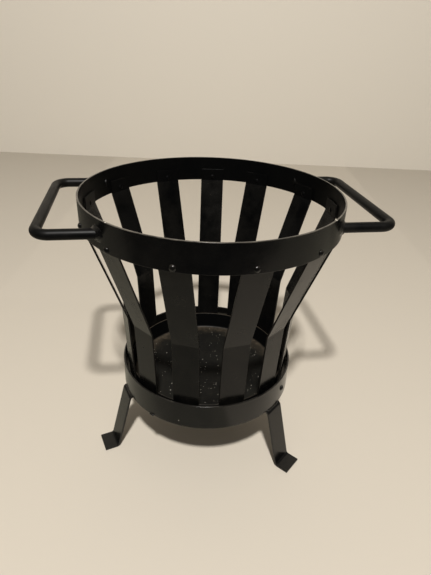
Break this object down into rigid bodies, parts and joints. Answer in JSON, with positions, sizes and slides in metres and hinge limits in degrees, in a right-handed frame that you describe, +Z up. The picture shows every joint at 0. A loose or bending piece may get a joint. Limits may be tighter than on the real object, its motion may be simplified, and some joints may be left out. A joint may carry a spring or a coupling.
{
  "type": "fire basket",
  "caption": "Round open fire basket of flat steel slats between two riveted rings, on splayed strip legs, with a rod handle on each side and a lift-out ash pan.",
  "frame": {"origin": "on the floor, on the basket's axis, under the middle of the rings", "axes": "+Z up along the basket's axis; +X towards the right handle, -X towards the left handle; -Y is the front"},
  "size_m": [0.378, 0.3015, 0.3425],
  "materials": {
    "black_paint": "thin satin black heat paint on steel strip, worn lighter on the edges",
    "rivets": "satin black paint over round rivet heads",
    "welds": "satin black paint over rough weld beads",
    "pan": "satin black paint under a film of ash dust"
  },
  "bodies": {
    "basket": {"top_ring": "black_paint", "bottom_ring": "black_paint", "base_plate": "black_paint", "slat_01": "black_paint", "slat_02": "black_paint", "slat_03": "black_paint", "slat_04": "black_paint", "slat_05": "black_paint", "slat_06": "black_paint", "slat_07": "black_paint", "slat_08": "black_paint", "slat_09": "black_paint", "slat_10": "black_paint", "slat_11": "black_paint", "slat_12": "black_paint", "slat_13": "black_paint", "slat_rivets": "rivets", "slat_welds": "welds", "plate_rivets": "rivets", "handle_left": "black_paint", "handle_right": "black_paint", "handle_welds": "welds", "leg_left": "black_paint", "leg_right": "black_paint", "leg_rear": "black_paint", "leg_welds": "welds"},
    "ash_pan": {"ash_pan": "pan"}
  },
  "joints": [
    {"name": "ash_pan_lift", "type": "slide", "parent": "basket", "child": "ash_pan", "axis": [0, 0, 1], "range_m": [0, 0.262]}
  ]
}
